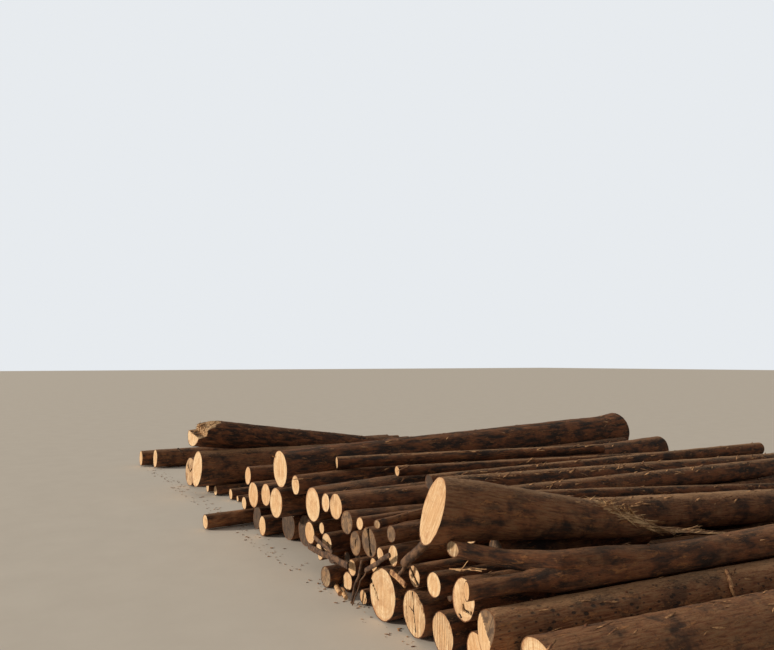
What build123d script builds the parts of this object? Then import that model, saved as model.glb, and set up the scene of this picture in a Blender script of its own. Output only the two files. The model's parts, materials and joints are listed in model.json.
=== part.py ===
from build123d import *
import math
import os

# A low stack of softwood roundwood lying on level ground.
# The frame is in millimetres with +Z up. The logs run along X, with their
# sawn near ends in the row's front face, and the row runs along Y. The origin
# is on the ground under the middle of the stack.

stock_length = 4100.0          # common length of the cut logs
seat_clearance = 0.3           # air left between two logs that rest together
roll_limit = 26.0              # how far a log end may roll into a hollow
butt_length = 2260.0           # the short thick butt log on top
butt_diameter = 366.0          # its sawn face
butt_tip_diameter = 232.0      # its torn end
butt_tear_length = 330.0       # how far the torn end slants along the log
long_log_diameter = 320.0      # near end of the long log on top
long_log_far_diameter = 428.0  # its swollen far end
fork_at = 520.0                # where the forked log's two limbs meet
fork_lower_diameter = 100.0    # sawn end of the lower limb
fork_trunk_diameter = 168.0    # the forked log behind its fork
fork_limb_diameter = 80.0      # the upper limb
fork_limb_rise = 60.0          # the upper limb's sawn end above the fork
swell_length = 260.0           # length of the root swelling on the butt logs
hinge_diameter = 330.0         # butt of the log with the broken felling hinge
hinge_depth = 230.0            # depth of the broken hinge
bend_pieces = 5                # straight pieces in a bent pole
taper_stage = 10.0             # most that a log's radius changes over one stage
saw_lean = 1.5                 # degrees by which the saw cuts are out of square
end_spacing = 4.0              # how closely contact is felt for near a sawn end
end_steps = 16                 # and over how many such steps

butt_share = butt_length / stock_length
fork_share = fork_at / stock_length
swell_share = swell_length / stock_length
fork_limb_offset = (80.0, 195.0)   # the upper limb's end from the lower one's

# Ground logs that were rolled up against the log before them, and ground logs
# whose far end alone was swung against it.
ROLLED_UP = ["core_ground_" + letter for letter in "ijklmnopqrs"]
SWUNG_IN = ["shaded_ground_log", "under_pole_a", "under_pole_b", "under_pole_d", "far_log_a", "far_log_b"]

# The stretch of a log that is forked, notched or torn, from share to share of
# its length. The log keeps its thickness there.
fork_end = 1.25 * fork_share
hinge_end = 1.7 * hinge_depth / stock_length
tear_start = 1 - 1.05 * butt_tear_length / butt_length
WORKED = {
    "forked_log": (0.0, fork_end),
    "hinge_butt_log": (0.0, hinge_end),
    "big_butt_log": (tear_start, 1.0),
}

# Logs that are not a plain taper: (share of the length, radius) in between.
SHAPED = {
    "forked_log": [
        (0.64 * fork_share, fork_lower_diameter / 2),
        (fork_share, fork_trunk_diameter / 2),
        (fork_end, fork_trunk_diameter / 2),
    ],
    "hinge_butt_log": [(hinge_end, hinge_diameter / 2)],
    "long_top_log": [(0.5, 172.0), (1 - swell_share, long_log_far_diameter / 2 - 26)],
    "big_butt_log": [
        (swell_length / butt_length, butt_diameter / 2 - 20),
        (tear_start, butt_tip_diameter / 2),
    ],
}

# Each row is one log: name, x and y of the middle of its near end, diameter
# there, y and diameter at its far end, length as a share of the common length,
# and how far it bends sideways. The order is the order of stacking.
GROUND = [
    ("near_outer_log", -15, -684, 330, -1375, 362, 1.00, 0),
    ("near_hidden_log", 10, -282, 216, -760, 215, 0.99, 0),
    ("ridged_end_log", 0, -20, 226, -330, 240, 0.98, 0),
    ("split_end_log", -10, 235, 264, 40, 272, 1.01, 0),
    ("cracked_end_log", -40, 526, 308, 470, 318, 0.99, 0),
    ("ground_pole_a", -10, 795, 102, 850, 118, 0.95, 12),
    ("core_ground_a", 150, 925, 132, 1000, 120, 0.92, 0),
    ("ground_pole_b", 20, 1064, 132, 1160, 140, 0.98, 0),
    ("weathered_pole_a", -70, 1205, 142, 1345, 130, 0.97, 0),
    ("core_ground_b", 160, 1338, 92, 1480, 104, 0.93, 0),
    ("core_ground_c", 150, 1452, 100, 1600, 112, 0.92, 0),
    ("core_ground_d", 190, 1640, 122, 1780, 130, 0.95, 0),
    ("core_ground_e", 240, 1860, 204, 2010, 190, 0.93, 0),
    ("core_ground_f", 200, 2130, 262, 2230, 266, 0.94, 0),
    ("core_ground_g", 160, 2405, 254, 2508, 256, 0.95, 0),
    ("shaded_ground_log", 20, 2640, 178, 2745, 190, 0.99, 0),
    ("core_ground_h", 60, 2885, 214, 2955, 214, 0.96, 0),
    ("stray_ground_log", -340, 3115, 142, 3190, 168, 1.03, 0),
    ("core_ground_i", 420, 3320, 128, 3390, 140, 0.88, 0),
    ("core_ground_j", 560, 3470, 160, 3530, 150, 0.86, 0),
    ("core_ground_k", 480, 3610, 122, 3660, 130, 0.90, 0),
    ("core_ground_l", 520, 3740, 134, 3780, 128, 0.88, 0),
    ("core_ground_m", 460, 3870, 118, 3900, 122, 0.90, 0),
    ("under_pole_a", 280, 4085, 74, 4030, 96, 0.90, 0),
    ("under_pole_b", 250, 4230, 128, 4190, 140, 0.92, 0),
    ("under_pole_c", 170, 4530, 118, 4470, 128, 0.94, 0),
    ("under_pole_d", 150, 4768, 112, 4700, 122, 0.93, 0),
    ("weathered_butt_log", 70, 5255, 352, 5620, 300, 0.97, 0),
    ("core_ground_n", 560, 5600, 150, 5850, 140, 0.82, 0),
    ("core_ground_o", 640, 5770, 188, 6020, 172, 0.84, 0),
    ("core_ground_p", 600, 5950, 146, 6190, 140, 0.86, 0),
    ("core_ground_q", 680, 6110, 158, 6350, 150, 0.82, 0),
    ("core_ground_r", 640, 6270, 172, 6510, 160, 0.84, 0),
    ("core_ground_s", 600, 6430, 150, 6660, 142, 0.86, 0),
    ("far_log_a", 0, 6880, 268, 6960, 250, 0.98, 0),
    ("far_log_b", -140, 7150, 228, 7260, 240, 1.00, 0),
]
COURSES = [
    # second course, from the near end of the row to the far end
    ("core_low_a", 140, -150, 80, -560, 78, 0.90, 0),
    ("core_low_p", 130, 108, 56, -170, 60, 0.92, 0),
    ("hollow_end_log", 0, -172, 220, -450, 226, 0.98, 0),
    ("knotty_log", 0, -405, 212, -1085, 300, 1.01, 0),
    ("small_end_log", 0, 85, 142, -150, 150, 0.97, 0),
    ("core_low_b", 120, 340, 122, 215, 124, 0.92, 0),
    ("short_end_log_a", 0, 232, 128, 60, 140, 0.96, 0),
    ("brown_end_log", -10, 422, 132, 300, 142, 0.97, 0),
    ("core_low_c", 130, 745, 116, 700, 122, 0.93, 0),
    ("shaded_pole_a", 40, 728, 98, 640, 104, 0.94, 0),
    ("low_end_log_a", 0, 935, 116, 1010, 122, 0.98, 0),
    ("low_end_log_b", 30, 1490, 128, 1610, 138, 0.97, 0),
    ("core_low_e", 140, 1125, 98, 1240, 106, 0.93, 0),
    ("core_low_f", 150, 1300, 92, 1420, 100, 0.92, 0),
    ("low_end_log_c", 0, 1310, 148, 1450, 156, 0.98, 0),
    ("core_low_g", 180, 1745, 96, 1850, 104, 0.93, 0),
    ("mid_end_log_a", 0, 1632, 174, 1740, 182, 0.99, 0),
    ("core_low_h", 260, 1790, 130, 1900, 140, 0.92, 0),
    ("core_low_i", 280, 1990, 214, 2080, 200, 0.93, 0),
    ("bright_end_log_a", 0, 2285, 262, 2340, 270, 0.99, 0),
    ("core_low_m", 150, 2520, 96, 2600, 100, 0.93, 0),
    ("bright_end_log_b", 0, 2520, 204, 2600, 212, 0.98, 0),
    ("bright_end_log_c", 0, 2845, 240, 2900, 232, 0.99, 0),
    ("thin_end_log_a", 10, 3110, 128, 3060, 136, 0.95, 0),
    ("core_low_j", 330, 3130, 226, 3200, 196, 0.88, 0),
    ("large_end_log", -10, 4630, 418, 4560, 330, 1.00, 0),
    ("core_low_k", 520, 3700, 130, 3690, 140, 0.87, 0),
    ("core_low_l", 600, 6100, 150, 6380, 140, 0.82, 0),
    ("forked_log", -80, -300, fork_lower_diameter, -905, 190, 1.00, 0),
]
UPPER = [
    # third course and what lies loose on top
    ("weathered_mid_log_a", 0, 945, 160, 890, 168, 0.98, 0),
    ("core_mid_e", 130, 628, 66, 520, 72, 0.92, 0),
    ("thin_pole_a", 0, 634, 94, 520, 100, 0.95, 0),
    ("grey_end_log_a", 0, 758, 192, 650, 200, 0.99, 0),
    ("core_mid_a", 150, 1125, 156, 1200, 160, 0.92, 0),
    ("core_mid_f", 140, 1490, 72, 1540, 76, 0.92, 0),
    ("thin_pole_b", 40, 1500, 94, 1560, 100, 0.94, 0),
    ("core_mid_b", 160, 1345, 130, 1400, 130, 0.92, 0),
    ("violet_end_log", 0, 455, 108, 330, 120, 0.96, 0),
    ("grey_end_log_b", 0, 1060, 160, 1030, 168, 0.98, 0),
    ("thin_pole_c", 20, 925, 92, 960, 100, 0.94, 0),
    ("top_end_log_a", 0, 1205, 188, 1260, 196, 0.99, 0),
    ("top_end_log_c", 0, 1562, 258, 1640, 262, 0.99, 0),
    ("top_end_log_b", 10, 1392, 142, 1440, 150, 0.96, 0),
    ("core_mid_c", 300, 1830, 150, 1900, 150, 0.92, 0),
    ("core_mid_d", 260, 2010, 116, 2060, 118, 0.90, 0),
    ("brown_pole", 30, 1975, 160, 2030, 168, 0.95, 0),
    ("short_top_log", 0, 2965, 174, 3010, 182, 0.72, 0),
    ("long_top_log", 0, 2232, long_log_diameter, 2240, long_log_far_diameter, 1.00, 0),
    ("hinge_butt_log", -30, 4690, hinge_diameter, 5290, 262, 0.80, 0),
]
BACK_LAYER = [
    # long logs lying further back on top, and the loose poles
    ("leaning_pole", 20, 705, 62, 900, 54, 0.23, 0),
    ("core_top_a", 380, 32, 150, -42, 140, 0.28, 0),
    ("pale_top_log", 400, 262, 236, -260, 250, 0.95, 0),
    ("big_butt_log", 0, 57, butt_diameter, -372, butt_tip_diameter, butt_share, 0),
    ("thin_top_log", 620, 320, 92, 250, 104, 0.88, 0),
    ("dark_top_log", 520, 446, 150, 390, 164, 0.93, 0),
    ("core_top_b", 480, 760, 120, 720, 130, 0.88, 0),
    ("shaggy_top_log", 480, 612, 160, 560, 176, 0.95, 0),
    ("far_reaching_top_log", 500, 790, 110, 700, 124, 0.92, 0),
    ("crossing_pole", 700, 1560, 90, 1050, 96, 0.84, 0),
    ("recessed_pole", 400, 2000, 106, 1330, 92, 0.60, 0),
]

# Logs with a name of their own become sub-parts. The rest, which show little
# or not at all, are gathered by their place in the stack.
GATHERED = {
    "core_ground": "hidden_ground_logs",
    "core_low": "hidden_second_course_logs",
    "core_mid": "hidden_third_course_logs",
    "core_top": "hidden_top_logs",
    "under_pole": "poles_under_large_log",
}


class Log:
    """A log as a straight or slightly bent row of round stations."""

    def __init__(self, name, x, near_y, near_d, far_y, far_d, share, bend):
        self.name = name
        self.near = (float(x), float(near_y))
        self.far_y = float(far_y)
        self.length = stock_length * share
        self.radii = (near_d / 2, far_d / 2)
        self.profile = [(0.0, near_d / 2)] + SHAPED.get(name, []) + [(1.0, far_d / 2)]
        self.bend = float(bend)
        self.heights = (0.0, 0.0)
        self.limb = None
        cuts = [share for share, radius in self.profile]
        if bend:
            cuts = [i / bend_pieces for i in range(bend_pieces + 1)]
        self.cuts = cuts

    def plan(self, share):
        """The axis seen from above, at a share of the length."""
        run = self.run()
        side = self.far_y - self.near[1]
        x = self.near[0] + run * share
        y = self.near[1] + side * share + 4 * self.bend * share * (1 - share)
        return x, y

    def run(self):
        """How far the log reaches along X."""
        side = self.far_y - self.near[1]
        rise = self.heights[1] - self.heights[0]
        return math.sqrt(max(self.length ** 2 - side ** 2 - rise ** 2, 1.0))

    def radius(self, share):
        """The log's radius at a share of its length."""
        for (a, near), (b, far) in zip(self.profile, self.profile[1:]):
            if share <= b:
                return near + (far - near) * (share - a) / (b - a)
        return self.profile[-1][1]

    def height(self, share):
        return self.heights[0] + (self.heights[1] - self.heights[0]) * share

    def point(self, share):
        x, y = self.plan(share)
        return Vector(x, y, self.height(share))

    def balance(self):
        """Where the log's weight acts, as a share of its length."""
        a, b = self.radii
        return (a * a + 2 * a * b + 3 * b * b) / (4 * (a * a + a * b + b * b))

    def spans(self):
        """The axis as straight spans: start, unit direction, length, radii."""
        found = []
        for first, last in zip(self.cuts, self.cuts[1:]):
            a = self.point(first)
            b = self.point(last)
            along = b - a
            size = along.length
            unit = along / size
            start = self.radius(first)
            slope = (self.radius(last) - start) / size
            found.append((a.X, a.Y, a.Z, unit.X, unit.Y, unit.Z, size, start, slope))
        if self.limb:
            found.append(self.limb)
        return found


def resting_height(x, y, reach, span):
    """The height at which a ball at x, y just rests on a span, or None."""
    ax, ay, az, ux, uy, uz, size, start, slope = span
    wx = x - ax
    wy = y - ay
    flat = wx * ux + wy * uy
    foot = flat
    for _ in range(3):
        gap = reach + start + slope * foot
        a = 1 - uz * uz
        c = wx * wx + wy * wy - flat * flat - gap * gap
        b = -2 * flat * uz
        inside = b * b - 4 * a * c
        if inside <= 0:
            return None
        up = (math.sqrt(inside) - b) / (2 * a)
        foot = flat + uz * up
    if foot < -2.0 or foot > size + 2.0:
        return None
    return az + up


def neighbours(log, placed):
    """The spans that could touch a log, wherever it may roll."""
    x0, y0 = log.plan(0)
    x1, y1 = log.plan(1)
    reach = max(log.radii) + roll_limit + abs(log.bend) + 5
    low, high = min(y0, y1) - reach, max(y0, y1) + reach
    found = []
    for other in placed:
        ends = [other.plan(0), other.plan(1)]
        size = max(other.radii) + abs(other.bend)
        if other.limb:
            size = size + fork_limb_offset[1]
        if max(e[1] for e in ends) + size < low or min(e[1] for e in ends) - size > high:
            continue
        if ends[1][0] < x0 or ends[0][0] > x1:
            continue
        found.extend(other.spans())
    return found


def demands(log, spans, count):
    """Every height the log's axis has to clear, as (share, height)."""
    x0, y0 = log.plan(0)
    x1, y1 = log.plan(1)
    run = x1 - x0
    found = []
    for share in [i / count for i in range(count + 1)] + log.cuts:
        found.append((share, log.radius(share)))
    for span in spans:
        start = (span[0] - x0) / run
        end = (span[0] + span[3] * span[6] - x0) / run
        first = max(0.0, min(start, end))
        last = min(1.0, max(start, end))
        if last <= first:
            continue
        steps = max(2, int(count * (last - first)))
        shares = [first + (last - first) * i / steps for i in range(steps + 1)]
        shares += [cut for cut in log.cuts if first < cut < last]
        if count > 20:
            for edge in (first, last):
                for i in range(-end_steps, end_steps + 1):
                    shares.append(min(1.0, max(0.0, edge + i * end_spacing / run)))
        for share in shares:
            x, y = log.plan(share)
            height = resting_height(x, y, log.radius(share) + seat_clearance, span)
            if height is not None:
                found.append((share, height))
    return found


def lowest_line(points, balance):
    """The lowest line over all the points, measured at the balance point."""
    points = sorted(points)
    hull = []
    for p in points:
        while len(hull) >= 2:
            (ax, ay), (bx, by) = hull[-2], hull[-1]
            if (bx - ax) * (p[1] - ay) >= (by - ay) * (p[0] - ax):
                hull.pop()
            else:
                break
        if hull and p[0] == hull[-1][0]:
            if p[1] <= hull[-1][1]:
                continue
            hull.pop()
        hull.append(p)
    for (ax, ay), (bx, by) in zip(hull, hull[1:]):
        if ax <= balance <= bx and bx > ax:
            slope = (by - ay) / (bx - ax)
            return ay - slope * ax, ay + slope * (1 - ax)
    return hull[0][1], hull[0][1]


def drop(log, spans, count):
    """Let a log down where it lies and return the height of its weight."""
    line = log.heights
    for _ in range(2 if count < 20 else 5):
        line = lowest_line(demands(log, spans, count), log.balance())
        log.heights = line
    where = log.balance()
    return line[0] + (line[1] - line[0]) * where


def side_gap(log, other):
    """The least distance between two logs lying on the ground."""
    least = 1e9
    for i in range(81):
        share = i / 80
        x, y = log.plan(share)
        z = log.height(share)
        for ax, ay, az, ux, uy, uz, size, start, slope in other.spans():
            wx, wy, wz = x - ax, y - ay, z - az
            foot = min(size, max(0.0, wx * ux + wy * uy + wz * uz))
            away = math.dist((wx, wy, wz), (foot * ux, foot * uy, foot * uz))
            least = min(least, away - log.radius(share) - start - slope * foot)
    return least


def close_up(log, other, whole):
    """Move a ground log sideways, or its far end alone, up to the other log."""
    log.heights = log.radii
    x, near_y = log.near
    far_y = log.far_y
    low = other.far_y - far_y
    high = low + 1200.0
    for _ in range(40):
        shift = (low + high) / 2
        log.near = (x, near_y + shift if whole else near_y)
        log.far_y = far_y + shift
        if side_gap(log, other) > seat_clearance:
            high = shift
        else:
            low = shift
    log.near = (x, near_y + high if whole else near_y)
    log.far_y = far_y + high


def settle(log, placed, roll=roll_limit):
    """Roll both ends of a log down into the nearest hollow."""
    spans = neighbours(log, placed)
    home = (log.near[1], log.far_y)
    x = log.near[0]

    def tried(a, b):
        log.near = (x, home[0] + a)
        log.far_y = home[1] + b
        return drop(log, spans, 12)

    best = (0.0, 0.0)
    height = tried(0.0, 0.0)
    step = roll / 2
    finest_roll = 0.3
    moves = [(1, 0), (-1, 0), (0, 1), (0, -1), (1, 1), (-1, -1)]
    while step > finest_roll:
        improved = False
        for da, db in moves:
            a = max(-roll, min(roll, best[0] + da * step))
            b = max(-roll, min(roll, best[1] + db * step))
            if (a, b) == best:
                continue
            h = tried(a, b)
            if h < height - 0.01:
                best = (a, b)
                height = h
                improved = True
        if not improved:
            step = step / 2
    tried(*best)
    drop(log, spans, 96)


def round_loft(stations):
    """A straight-sided body through round stations: point, direction, radius."""
    rings = []
    for point, direction, radius in stations:
        ring = Plane(origin=point, z_dir=direction) * Circle(radius)
        rings.append(ring.face().outer_wire())
    return Solid.make_loft(rings, True)


def stages(log):
    """The shares of the length at which the log's body has a station."""
    shares = [0.0]
    first_worked, last_worked = WORKED.get(log.name, (0.0, 0.0))
    for first, last in zip(log.cuts, log.cuts[1:]):
        taper = abs(log.radius(last) - log.radius(first))
        count = max(1, math.ceil(taper / taper_stage))
        if first_worked <= first and last <= last_worked:
            count = 1
        shares += [first + (last - first) * (i + 1) / count for i in range(count)]
    return shares


def trunk(log):
    """The log's body, through its bends and with its taper in small stages."""
    first_worked, last_worked = WORKED.get(log.name, (-1.0, -1.0))
    stations = []
    for share in stages(log):
        ahead = log.point(min(1.0, share + 0.02)) - log.point(max(0.0, share - 0.02))
        if not first_worked <= share <= last_worked:
            ahead = ahead.rotate(Axis.Z, saw_lean)
        stations.append((log.point(share), ahead, log.radius(share)))
    return round_loft(stations)


def leaning_block(at, tilt, size):
    """A block whose near face passes through a point, leaning by an angle."""
    turned = Plane(origin=at, z_dir=(math.cos(tilt), 0, math.sin(tilt)))
    return turned * Box(size, size, size, align=(Align.CENTER, Align.CENTER, Align.MIN))


def torn_butt(log):
    """The big butt log, torn off aslant at its far end."""
    body = trunk(log)
    torn_from = log.point(1 - butt_tear_length / butt_length)
    radius = log.radius(1)
    lean = math.atan2(2 * radius, butt_tear_length)
    start = Vector(torn_from.X, torn_from.Y, torn_from.Z + radius)
    return body - leaning_block(start, lean, 4 * radius + butt_tear_length)


def broken_hinge(log):
    """The felled butt log: notched back over the upper half of its end."""
    body = trunk(log)
    end = log.point(0)
    radius = log.radius(0)
    middle = Vector(end.X, end.Y, end.Z + 0.1 * radius)
    lean = math.atan2(0.9 * radius, hinge_depth)
    plane = Plane(origin=middle, x_dir=(0, 1, 0), z_dir=(-math.sin(lean), 0, math.cos(lean)))
    size = 6 * radius
    notch = plane * Box(size, size, size, align=(Align.CENTER, Align.CENTER, Align.MIN))
    return body - notch


def grow_limb(log, placed):
    """Give the forked log its upper limb, clear of the logs it passes."""
    crotch = log.point(fork_share)
    tip = Vector(log.near[0] + fork_limb_offset[0], log.near[1] + fork_limb_offset[1], 0)
    radius = fork_limb_diameter / 2
    height = crotch.Z + fork_limb_rise
    spans = [span for other in placed if other is not log for span in other.spans()]
    for i in range(8, 41):
        share = i / 40
        x = crotch.X + (tip.X - crotch.X) * share
        y = crotch.Y + (tip.Y - crotch.Y) * share
        reach = radius + seat_clearance
        for span in spans:
            needed = resting_height(x, y, reach, span)
            if needed is not None and needed < crotch.Z + 6 * radius:
                height = max(height, crotch.Z + (needed - crotch.Z) / share)
    tip = Vector(tip.X, tip.Y, height)
    start = crotch + (crotch - tip) * 0.1
    size = (tip - start).length
    unit = (tip - start) / size
    log.limb = (start.X, start.Y, start.Z, unit.X, unit.Y, unit.Z, size, radius, 0.0)


def forked(log):
    """The forked log: its trunk and lower limb, and the upper limb beside it."""
    ax, ay, az, ux, uy, uz, size, radius, slope = log.limb
    limb = Solid.make_cylinder(radius, size)
    limb = Plane(origin=(ax, ay, az), z_dir=(ux, uy, uz)).location * limb
    return trunk(log) + limb


placed = []
for row in GROUND + COURSES + UPPER + BACK_LAYER:
    log = Log(*row)
    if log.name in ROLLED_UP or log.name in SWUNG_IN:
        close_up(log, placed[-1], log.name in ROLLED_UP)
        settle(log, placed[:-1], 0.0)
    else:
        settle(log, placed)
    placed.append(log)
    if log.name == "forked_log":
        grow_limb(log, placed)

SPECIAL = {
    "big_butt_log": torn_butt,
    "hinge_butt_log": broken_hinge,
    "forked_log": forked,
}

bodies = [SPECIAL.get(log.name, trunk)(log) for log in placed]
boxes = [body.bounding_box() for body in bodies]
middle_x = (min(b.min.X for b in boxes) + max(b.max.X for b in boxes)) / 2
middle_y = (min(b.min.Y for b in boxes) + max(b.max.Y for b in boxes)) / 2
home = Location((-middle_x, -middle_y, 0))

groups = {}
for log, body in zip(placed, bodies):
    name = log.name
    for start, shared in GATHERED.items():
        if name.startswith(start):
            name = shared
    groups.setdefault(name, []).append(body.moved(home))

os.makedirs("parts", exist_ok=True)
for name, solids in groups.items():
    whole = solids[0] if len(solids) == 1 else Compound(children=solids)
    export_step(whole, os.path.join("parts", name + ".step"))
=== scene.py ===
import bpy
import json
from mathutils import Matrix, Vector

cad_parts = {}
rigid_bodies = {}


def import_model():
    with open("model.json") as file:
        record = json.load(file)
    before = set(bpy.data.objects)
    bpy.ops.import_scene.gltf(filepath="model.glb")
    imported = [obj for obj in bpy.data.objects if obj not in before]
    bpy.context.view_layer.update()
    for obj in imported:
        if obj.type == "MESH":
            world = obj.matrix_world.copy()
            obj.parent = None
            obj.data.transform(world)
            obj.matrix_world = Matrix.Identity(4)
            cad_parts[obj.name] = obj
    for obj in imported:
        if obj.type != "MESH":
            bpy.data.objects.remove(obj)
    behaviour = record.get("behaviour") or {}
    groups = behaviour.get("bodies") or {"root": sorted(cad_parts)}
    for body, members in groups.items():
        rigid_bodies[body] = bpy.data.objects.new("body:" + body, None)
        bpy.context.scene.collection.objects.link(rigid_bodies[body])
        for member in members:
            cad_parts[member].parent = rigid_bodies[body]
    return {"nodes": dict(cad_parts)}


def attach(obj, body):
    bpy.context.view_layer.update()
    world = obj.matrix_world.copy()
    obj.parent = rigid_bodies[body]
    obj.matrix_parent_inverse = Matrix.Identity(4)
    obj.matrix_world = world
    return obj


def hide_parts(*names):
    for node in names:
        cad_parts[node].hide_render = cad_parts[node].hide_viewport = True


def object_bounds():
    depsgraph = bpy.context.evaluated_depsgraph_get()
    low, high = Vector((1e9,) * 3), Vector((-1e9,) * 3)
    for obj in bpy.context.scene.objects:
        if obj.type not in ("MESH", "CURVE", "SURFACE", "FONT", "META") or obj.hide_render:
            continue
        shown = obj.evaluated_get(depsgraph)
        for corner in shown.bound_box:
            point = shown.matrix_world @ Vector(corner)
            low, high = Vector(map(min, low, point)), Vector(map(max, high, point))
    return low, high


bl_info = {
    "name": "Stack of logs",
    "version": (1, 0, 0),
    "blender": (4, 5, 0),
    "location": "3D View > Sidebar > Logs",
    "description": "Gives a stack of plain round logs their bark, sawn ends, torn wood and litter",
    "category": "Object",
}

import json
import math
import random

import bmesh
import bpy
from bpy.props import FloatProperty, FloatVectorProperty, IntProperty, PointerProperty
from bpy.types import Operator, Panel, PropertyGroup
from mathutils import Vector, noise

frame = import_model()
cad_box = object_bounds()

# Where the camera stands, in metres, and where it looks, in degrees.
CAMERA_PLACE = (-4.023, -5.643, 1.5)
CAMERA_HEADING = 31.2        # from +Y towards +X
CAMERA_RISE = 3.26           # above the horizon
PHOTO_WIDTH = 774
FOCAL_PIXELS = 650.0
SENSOR_WIDTH = 36.0
CAMERA_REACH = 500.0         # how far it sees, in metres

# The floor, in metres, and the lights.
FLOOR_REACH = 120.0
SOFT_LIGHT = (1.0, 0.95, 0.88)
SOFT_STRENGTH = 0.34
BACKDROP = (0.80, 0.83, 0.86)
KEY_COLOUR = (1.0, 0.89, 0.74)
KEY_STRENGTH = 3.8
KEY_SOFTNESS = 6.0           # degrees across
KEY_SIDE = (-0.88, 0.38, 0.28)   # the side it shines from

UP = Vector((0, 0, 1))

# The torn, the hinged and the forked log, in metres, or in shares where a
# comment says so.
TEAR_LENGTH = 0.33
TORN_SKIN = 0.13             # how far the bark is torn off before the tear
SPLIT_LENGTH = 0.50          # how far the torn face slants down through the butt log
SLAB_LENGTH = 0.62           # the slab that is left below, up to its far end
SLAB_SHARE = 0.17            # its height, as a share of the log's
BUTT_SLIM = 0.82             # the butt log before its tear, as a share of its solid
BUTT_SINK = 0.02             # how much lower it lies there
SLIM_START = 0.26            # where the butt log begins to grow slimmer
SLIM_END = 0.95              # and where it has done so
TEAR_MARGIN = 0.008          # how far short of the tear the butt log's own form is read
HINGE_MARGIN = 0.03          # and how far behind the break the hinged log's
HINGE_DEPTH = 0.23
HINGE_HEIGHT = -0.1          # where the break begins, of the radius above the middle
HINGE_SLOPE = 0.25           # how much lower it begins towards the right
FORK_AT = 0.52               # where the two limbs meet
FORK_STRETCH = 0.65          # from the near end to the ring behind the fork
FLARE_START = 0.333          # where the lower limb begins to thicken
WEB_END = 1.25               # where the upper limb has grown into the trunk
LIMB_RISE = 0.042            # how far the upper limb lies above its solid
LIMB_REACH = 0.01            # how far it reaches out past it
LIMB_RADIUS = 0.043
LIMB_SWELL = (1.0, 1.15, 1.6, 1.8, 1.8)   # its thickness from the tip to the trunk, in radii
LIMB_APART = 2.2             # how far its points lie from the trunk, in radii of the lower limb
LOWER_LIMB_RADIUS = 0.05

# How far apart the rings of points along a log lie at least, in metres, for
# each round in which its axis is read.
RING_GAPS = (0.1, 0.03, 0.03, 0.03, 0.03)
SHARP_ANGLE = math.radians(42)

# How each log that shows looks: bark from red-brown (0) to grey-brown (1), end
# from fresh (0) to weathered (1), and past that darkened with painted shade to
# nearly black (1.6), and dust on its upper side (0 to 1).
LOOKS = {
    "near_outer_log": (0.62, 0.0, 0.12),
    "knotty_log": (0.9, 0.0, 0.6),
    "forked_log": (0.28, 0.1, 0.2),
    "big_butt_log": (0.38, 0.0, 0.85),
    "long_top_log": (0.15, 0.14, 0.1),
    "pale_top_log": (0.45, 0.2, 0.95),
    "dark_top_log": (0.25, 0.2, 0.7),
    "shaggy_top_log": (0.1, 0.2, 0.85),
    "thin_top_log": (0.2, 0.2, 0.8),
    # Its near end is darkened to nearly black as painted shade.
    "far_reaching_top_log": (0.25, 1.6, 0.8),
    "hinge_butt_log": (0.1, 0.0, 0.25),
    "large_end_log": (0.25, 0.2, 0.7),
    "weathered_butt_log": (0.5, 0.45, 0.3),
    "weathered_mid_log_a": (0.6, 0.9, 0.2),
    "grey_end_log_a": (0.6, 0.95, 0.2),
    "grey_end_log_b": (0.6, 0.85, 0.2),
    "violet_end_log": (0.5, 0.7, 0.2),
    "weathered_pole_a": (0.5, 0.6, 0.1),
    "top_end_log_a": (0.4, 0.35, 0.3),
    "brown_end_log": (0.4, 0.35, 0.2),
    "far_log_a": (0.5, 0.3, 0.3),
    "far_log_b": (0.5, 0.3, 0.3),
    "leaning_pole": (0.7, 0.5, 0.1),
    "split_end_log": (0.25, 0.3, 0.3),
    "hollow_end_log": (0.25, 0.3, 0.3),
    "crossing_pole": (0.3, 0.2, 0.8),
    "recessed_pole": (0.3, 0.2, 0.8),
}
USUAL_LOOK = (0.22, 0.05, 0.35)
# Hidden logs: near ends weathered and darkened further (past 1) as painted shade.
HIDDEN_LOOK = (0.3, 1.5, 0.3)
LIMB_LOOK = (0.28, 0.5, 0.2)

# Cuts, cracks and hollows in the near ends, in radii from the middle, right and
# up: from, to, half width and depth in metres. Each is sunk in, and coloured near
# black inside as painted shade.
SCARS = {
    "cracked_end_log": [((-0.95, 0.3), (-0.42, -0.12), 0.055, 0.02),
                        ((-0.42, -0.12), (-0.3, -0.3), 0.03, 0.015)],
    "split_end_log": [((0.15, 0.95), (0.9, 0.2), 0.06, 0.02), ((-0.75, 0.55), (-0.6, -0.6), 0.03, 0.01),
                      ((-0.15, 0.8), (0.1, -0.7), 0.045, 0.008), ((-0.4, 0.15), (-0.05, 0.05), 0.04, 0.006)],
    "short_end_log_a": [((-0.6, 0.45), (0.55, -0.65), 0.16, 0.02)],
    "hollow_end_log": [((0.02, -0.28), (0.1, -0.42), 0.09, 0.05), ((0.1, -0.42), (0.95, -0.36), 0.035, 0.02),
                       ((-0.3, -0.7), (-0.1, -0.8), 0.05, 0.01)],
    "low_end_log_c": [((0.2, 0.1), (0.5, -0.5), 0.05, 0.01)],
    "ridged_end_log": [((0.5, 0.9), (0.62, 0.3), 0.03, 0.01)],
    "weathered_butt_log": [((0.0, 0.0), (0.7, 0.5), 0.04, 0.02), ((0.0, 0.0), (-0.6, 0.4), 0.03, 0.02)],
    "grey_end_log_a": [((-0.1, 0.8), (0.2, -0.8), 0.06, 0.02)],
    "weathered_mid_log_a": [((0.1, 0.9), (0.0, -0.2), 0.05, 0.02)],
}
# Ends cut twice: the direction in degrees from the right, where the second cut
# starts in radii from the middle, and how steep it is.
SECOND_CUTS = {"knotty_log": (62.0, 0.3, 0.5), "low_end_log_b": (200.0, 0.5, 0.6)}
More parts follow.
